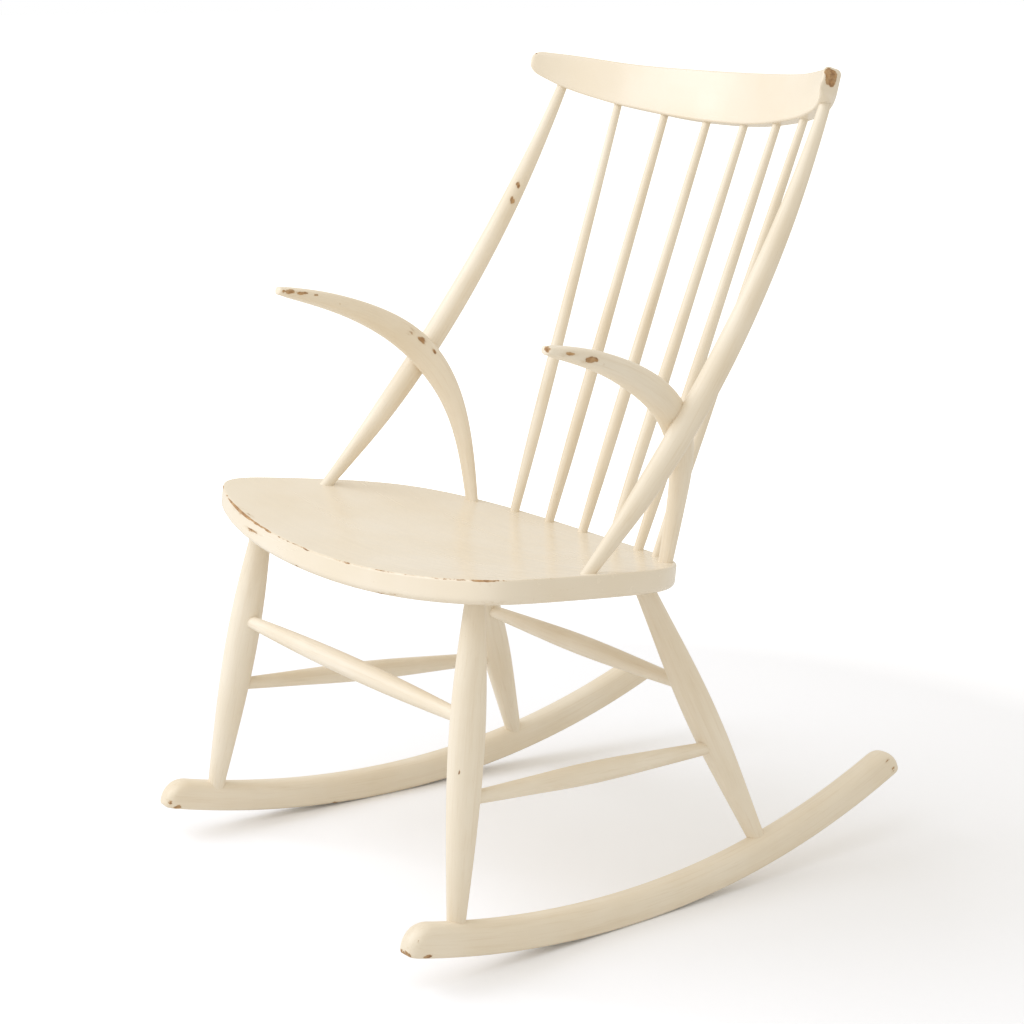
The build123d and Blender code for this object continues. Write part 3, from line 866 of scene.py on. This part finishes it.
@dataclass
class CrestRail:
    """A board bent to an arc in plan, more tightly at its ends, and leaning back."""

    spots: tuple[WearSpot, ...]
    half_width: float = 257.5
    thickness: float = 18.0
    bend_radius: float = 424.0
    curl_radius: float = 187.0
    curl_from: float = 205.0
    lean: float = math.radians(15)
    y: float = 267.3
    height: float = 811.6
    top: tuple = ((0, 55.2), (92, 54.0), (158, 52.4), (222, 51.8), (257.5, 49))
    bottom: tuple = (
        (0, -3.6), (78, -2.0), (118, 0.6), (162, 3.6), (193.5, 7.3), (231, 15), (257.5, 25))
    corner_round: float = 10.0
    edge_round: float = 2.5
    end_edge_round: float = 6.0
    end_round: float = 8.0
    end_reach: float = 40.0
    worn_above: float = 30.0

    def place(self, across: Values, up: Values, forward: Values) -> Array:
        """Places in the leaning plane: up runs along it, and forward square to it."""
        cos, sin = math.cos(self.lean), math.sin(self.lean)
        y = self.y + up * sin - forward * cos
        return grid(across, y, self.height + up * cos + forward * sin)

    def edge(self, table: tuple, across: Array) -> Array:
        """Height of the upper or lower edge: one spline over both halves."""
        left = np.array(table, float)
        both = np.concatenate([left[:0:-1] * np.array([-1.0, 1.0]), left])
        return spline(both[:, 0], both[:, 1], across)

    def stick_point(self, across: float) -> Array:
        """Where a stick enters the rail's lower edge."""
        low = self.edge(self.bottom, np.array([across]))[0]
        forward = self.forward(across, 0.0)
        return self.place(across, low, forward)

    def forward(self, across: Values, behind: Values) -> Array:
        """How far forward the bend brings a point, by how far it is behind the middle surface.

        It is the bend's radius less the root of the point's own radius squared less its place
        across squared. Past the curl's start the same holds round the tighter bend's centre.
        """
        across, behind = np.broadcast_arrays(np.abs(across), behind)
        turn = math.asin(self.curl_from / self.bend_radius)
        gap = self.bend_radius - self.curl_radius
        curl_x, curl_back = gap * math.sin(turn), gap * math.cos(turn) - self.bend_radius
        curled = across > (self.bend_radius + behind) * math.sin(turn)
        own = np.where(curled, self.curl_radius, self.bend_radius) + behind
        off = np.where(curled, across - curl_x, across)
        return np.where(curled, -curl_back, self.bend_radius) - np.sqrt(own**2 - off**2)

    def skin(self) -> Skin:
        """Rounded sections from end to end, each slid forward by the bend.

        Near an end the section draws in by the corners' rounds, and its own edges are rounder.
        """
        across = spaced(2 * self.half_width, RING_GAP, ends=14.0, fine=0.1) - self.half_width
        tip = self.half_width - np.abs(across)
        corner = quarter_drop(tip, self.corner_round)
        edge = quarter_drop(tip, self.end_round)
        low = self.edge(self.bottom, across) + corner
        high = self.edge(self.top, across) - corner
        half = self.thickness / 2 - edge * 0.98
        near_end = 1 - smooth(0, self.end_reach, tip)
        rounding = self.edge_round + (self.end_edge_round - self.edge_round) * near_end
        rounding = np.minimum(rounding, 0.9 * half)
        section, on_corner = rounded_section(
            half, low, high, rounding, rounding, per_corner=9, per_side=9)
        wide, behind, up = across[:, None], section[..., 0], section[..., 1]
        points = self.place(wide, up, self.forward(wide, behind))
        grain = grid(self.bend_radius * np.arcsin(wide / self.bend_radius), up, behind)
        arris = on_corner * np.where(up > self.worn_above, 0.4, 0.15)
        return Skin(points, grain, arris).worn(self.spots)


@dataclass
class Back:
    """Posts, spindles and arms."""

    seat: Seat
    crest: CrestRail
    post_from_front: float = 173.5
    post_side_inset: float = 21.0
    post_spread_at_crest: float = 229.5
    post_bow: float = 27.0
    post_side_bow: float = 4.0
    post_diameters: tuple = (
        (0, 13.0), (0.09, 18.2), (0.175, 23.4), (0.285, 26.7), (0.38, 27.2), (0.50, 26.5),
        (0.62, 24.3), (0.76, 20.8), (0.88, 16.5), (1, 12.2),
    )
    post_run_on: Pair = (7.0, 5.0)
    arm_foot_spread: float = 182.0
    arm_foot_inset: float = 14.5
    arm_lap: float = 6.9
    arm_crossing_height: float = 529.6
    arm_route: tuple = (
        (30.6, -178.5, 624.2), (23.4, -122.6, 610.0), (12.9, -63.5, 586.7),
        (4.1, -3.1, 544.6), (-11.5, 28.3, 491.5), (-27.5, 37.4, 438.9),
    )
    arm_sections: tuple = (
        (0, 2.0, 1.5, 0.80), (0.3, 9.0, 6.5, 0.80), (4, 17.5, 9.5, 0.80), (12, 23.5, 11.8, 0.80),
        (26, 26.4, 14.5, 0.80), (57, 27.5, 19.1, 0.78), (94, 28.2, 23.6, 0.76),
        (128, 28.8, 28.0, 0.73), (162, 29.0, 32.1, 0.71), (196, 28.6, 34.4, 0.71),
        (226, 27.4, 33.3, 0.71), (260, 25.0, 28.6, 0.71), (316, 21.5, 20.0, 0.71),
        (356, 20.0, 15.6, 0.71),
    )
    arm_foot: Triple = (18.8, 12.2, math.sqrt(0.5))
    arm_run_on: Triple = (2.0, 4.0, 6.0)
    arm_around: int = 72
    arm_worn_tip: float = 60.0
    spindle_seat_offsets: tuple = (27.6, 83.4, 133.2)
    spindle_crest_offsets: tuple = (32.6, 98.0, 162.3)
    spindle_rear_inset: float = 11.5
    spindle_diameters: tuple = (
        (0, 10.9), (40, 12.6), (83, 14.1), (151, 14.8), (219, 14.2), (287, 12.9), (356, 11.9),
        (424, 10.7),
    )
    spindle_crest_diameter: float = 9.2

    def post_line(self, share: Array) -> Array:
        """The left post's centre line: a circle's arc through its foot, its middle and its top."""
        from_front = self.post_from_front
        across = self.seat.side_edge(from_front) - self.post_side_inset
        foot = self.seat.point(across, from_front, 0.0)
        top = self.crest.stick_point(self.post_spread_at_crest)
        chord = unit(top - foot)
        outward = np.array([1.0, 0, 0])
        backward = unit(np.cross(chord, outward))
        bow = backward * self.post_bow + outward * self.post_side_bow
        bow = bow - chord * (bow @ chord)
        height = np.linalg.norm(bow)
        across_bow = bow / height
        half = np.linalg.norm(top - foot) / 2
        radius = (half**2 + height**2) / (2 * height)
        angle = (2 * share - 1) * math.asin(half / radius)
        centre = (foot + top) / 2 - across_bow * (radius - height)
        return centre + radius * (
            np.sin(angle)[:, None] * chord + np.cos(angle)[:, None] * across_bow)

    def post(self) -> Skin:
        """A round stick bent to the post's line, let into the seat and the crest rail."""
        length = chord_lengths(self.post_line(np.linspace(0, 1, 200)))[-1]
        below, above = self.post_run_on
        place = spaced(length + below + above, step=4.0, ends=8.0) - below
        share = place / length
        table = np.array(self.post_diameters, float)
        radius = spline(table[:, 0], table[:, 1], np.clip(share, 0, 1)) / 2
        to_end = np.minimum(place + below, length + above - place)
        radius = radius - quarter_drop(to_end, BLIND_END_ROUND)
        return Bent(self.post_line(share), radius, radius, np.full(len(share), 2.0)).skin()

    def arm_line(self) -> Array:
        """The arm's centre line, from its tip past the post and down to the seat, as its knots."""
        route = self.post_line(np.linspace(0, 1, 400))
        beside = np.interp(self.arm_crossing_height, route[:, 2], route[:, 0])
        girth = max(size for _, size in self.post_diameters)
        width = max(size for _, size, _, _ in self.arm_sections)
        shift = beside - (girth + width) / 2 + self.arm_lap
        knots = np.array(self.arm_route) + np.array([shift, 0, 0])
        spread = self.arm_foot_spread
        rear = self.seat.rear_edge(spread) - self.arm_foot_inset
        foot = self.seat.point(spread, rear, 0.0)
        return np.concatenate([knots, foot[None]])

    def arm(self) -> Skin:
        """The arm: its sizes are splines against the root of the distance, so its tip is round.

        The third size is where the upper shoulders stand, as a share of the half width, and the
        superellipse's power follows from it.
        """
        knots = self.arm_line()
        length = chord_lengths(knots)
        dense = spline(length, knots, np.linspace(0, length[-1], 2000))
        along = chord_lengths(dense)
        place = spaced(along[-1], RING_GAP, ends=20.0, fine=0.12)
        centre = np.stack([np.interp(place, along, dense[:, axis]) for axis in range(3)], -1)
        onward = unit(dense[-1] - dense[-2])
        extra = np.array(self.arm_run_on)
        centre = np.concatenate([centre, dense[-1] + extra[:, None] * onward])
        place = np.concatenate([place, place[-1] + extra])
        table = np.array([*self.arm_sections, (along[-1], *self.arm_foot)], float)
        at = np.sqrt(np.minimum(place, along[-1]))
        sizes = spline(np.sqrt(table[:, 0]), table[:, 1:], at)
        power = -math.log(2) / np.log(np.clip(sizes[:, 2], 0.70, 0.9))
        skin = Bent(centre, sizes[:, 0] / 2, sizes[:, 1] / 2, power, self.arm_around).skin()
        tip = 1 - smooth(0, self.arm_worn_tip, place)[:, None]
        level = np.sin(np.arange(self.arm_around) / self.arm_around * FULL_TURN)
        skin.arris = tip * (0.35 + 0.3 * smooth(-0.2, 0.8, level))
        return skin

    def spindle(self, seat_offset: float, crest_offset: float) -> Skin:
        """A turned spindle from the seat's rear edge to the crest rail."""
        rear = self.seat.rear_edge(seat_offset) - self.spindle_rear_inset
        foot = self.seat.point(seat_offset, rear, 0.0)
        top = self.crest.stick_point(crest_offset)
        length = np.linalg.norm(top - foot)
        stations = [*self.spindle_diameters, (length, self.spindle_crest_diameter)]
        return Turned(foot, top, stations, run_on=(6.0, 5.0), around=36).skin()

    def build(self, dresser: Dresser) -> None:
        """Make the crest rail, the posts, the arms and the spindles."""
        dresser.put(self.crest.skin(), "crest_rail", Finish.BOARD)
        dresser.put_pair(self.post(), "back_post", right_spots=FAR_POST_SPOTS)
        dresser.put_pair(self.arm(), "arm", NEAR_ARM_SPOTS, FAR_ARM_SPOTS)
        offsets = zip(self.spindle_seat_offsets, self.spindle_crest_offsets)
        for number, pair in enumerate(offsets, start=1):
            dresser.put_pair(self.spindle(*pair), f"back_spindle_{number}")


# ---- the studio


@dataclass
class Studio:
    """A pale floor and backdrop, soft lamps and the camera.

    Attributes:
        floor_tone: How pale the floor is to the light that it throws back.
        near_tone: How the camera sees it within the near reach, in metres.
        far_tone: How the camera sees it past the far reach.
        surround: Strength of the even light from all round, which is warm; the lamps are cool.
    """

    camera_place: Triple = (2.04650694, -1.49445035, 0.98810102)
    camera_right: Triple = (0.581003508, 0.813901052, 0.0)
    camera_up: Triple = (-0.186889687, 0.133411258, 0.973279858)
    lens: float = 81.914
    floor_tone: float = 0.85
    near_tone: Triple = (1.03, 1.055, 1.125)
    far_tone: Triple = (1.8, 1.84, 1.96)
    near_reach: float = 0.8
    far_reach: float = 1.7
    surround: float = 0.75
    warm: Triple = (1.03, 0.98, 0.88)
    cool: Triple = (0.96, 1.0, 1.09)
    aim: Triple = (0, 0, 0.45)
    floor_reach: float = 40.0

    def camera(self) -> None:
        """Stand the camera where the chair is seen from its left front."""
        data = bpy.data.cameras.new("camera")
        data.lens = self.lens
        data.sensor_width = 36.0
        data.clip_end = 60.0
        camera = placed("camera", data)
        right, up = Vector(self.camera_right), Vector(self.camera_up)
        turn = Matrix((right, up, right.cross(up))).transposed()
        camera.matrix_world = Matrix.Translation(self.camera_place) @ turn.to_4x4()
        bpy.context.scene.camera = camera

    def lamp(self, name: str, place: Triple, size: float, power: float) -> None:
        """A square soft box turned towards the chair."""
        data = bpy.data.lights.new(name, "AREA")
        data.shape = "SQUARE"
        data.size = size
        data.energy = power
        data.color = self.cool
        lamp = placed(name, data)
        turn = (Vector(place) - Vector(self.aim)).to_track_quat("Z", "Y").to_matrix()
        lamp.matrix_world = Matrix.Translation(place) @ turn.to_4x4()

    def floor(self) -> None:
        """A wide pale floor that shows white to the camera and keeps the chair's shadow."""
        mesh = bpy.data.meshes.new("studio_floor")
        corners = self.floor_reach * np.array([(-1, -1, 0), (1, -1, 0), (1, 1, 0), (-1, 1, 0)])
        mesh.from_pydata(corners.tolist(), [], [(0, 1, 2, 3)])
        floor = placed("studio_floor", mesh)
        sheet = Sheet(bpy.data.materials.new("pale_floor"))
        place = sheet.node("TexCoord").outputs["Object"]
        away = sheet.node("VectorMath", {"operation": "LENGTH"}, Vector=place).outputs["Value"]
        away = sheet.step(away, self.near_reach, self.far_reach)
        shown = sheet.blend(away, (*self.near_tone, 1), (*self.far_tone, 1))
        seen = sheet.node("LightPath").outputs["Is Camera Ray"]
        tone = sheet.blend(seen, (*[self.floor_tone] * 3, 1), shown)
        shader = sheet.node("BsdfDiffuse", Color=tone)
        sheet.node("OutputMaterial", Surface=shader.outputs[0])
        mesh.materials.append(sheet.owner)

    def world(self) -> None:
        """An even pale surround that the camera itself sees as white."""
        sheet = Sheet(bpy.data.worlds.new("surround"))
        glow = sheet.node("Background", Color=(*self.warm, 1), Strength=self.surround)
        white = sheet.node("Background", Color=(1, 1, 1, 1))
        mix = sheet.node("MixShader")
        seen = sheet.node("LightPath").outputs["Is Camera Ray"]
        for socket, value in zip(mix.inputs, (seen, glow.outputs[0], white.outputs[0])):
            sheet.feed(socket, value)
        sheet.node("OutputWorld", Surface=mix.outputs[0])
        bpy.context.scene.world = sheet.owner

    def build(self) -> None:
        """Set up everything that isn't the chair."""
        bpy.context.scene.view_settings.view_transform = "Standard"
        self.camera()
        self.floor()
        self.world()
        self.lamp("key", (-1.5, -2.1, 2.1), size=2.2, power=38.0)
        self.lamp("front", (0.5, -1.6, 2.5), size=1.8, power=10.0)


def main() -> None:
    """Build the studio and the chair, piece by piece."""
    logging.basicConfig(level=logging.INFO, format="%(name)s: %(message)s")
    Studio().build()
    dresser = Dresser({Finish.BOARD: BOARD_PAINT.material(), Finish.STICK: STICK_PAINT.material()})
    seat = Seat(spots=SEAT_SPOTS)
    crest = CrestRail(spots=CREST_SPOTS)
    dresser.put(seat.skin(), "seat", Finish.BOARD)
    Undercarriage(seat, Rockers()).build(dresser)
    Back(seat, crest).build(dresser)


if __name__ == "__main__":
    main()
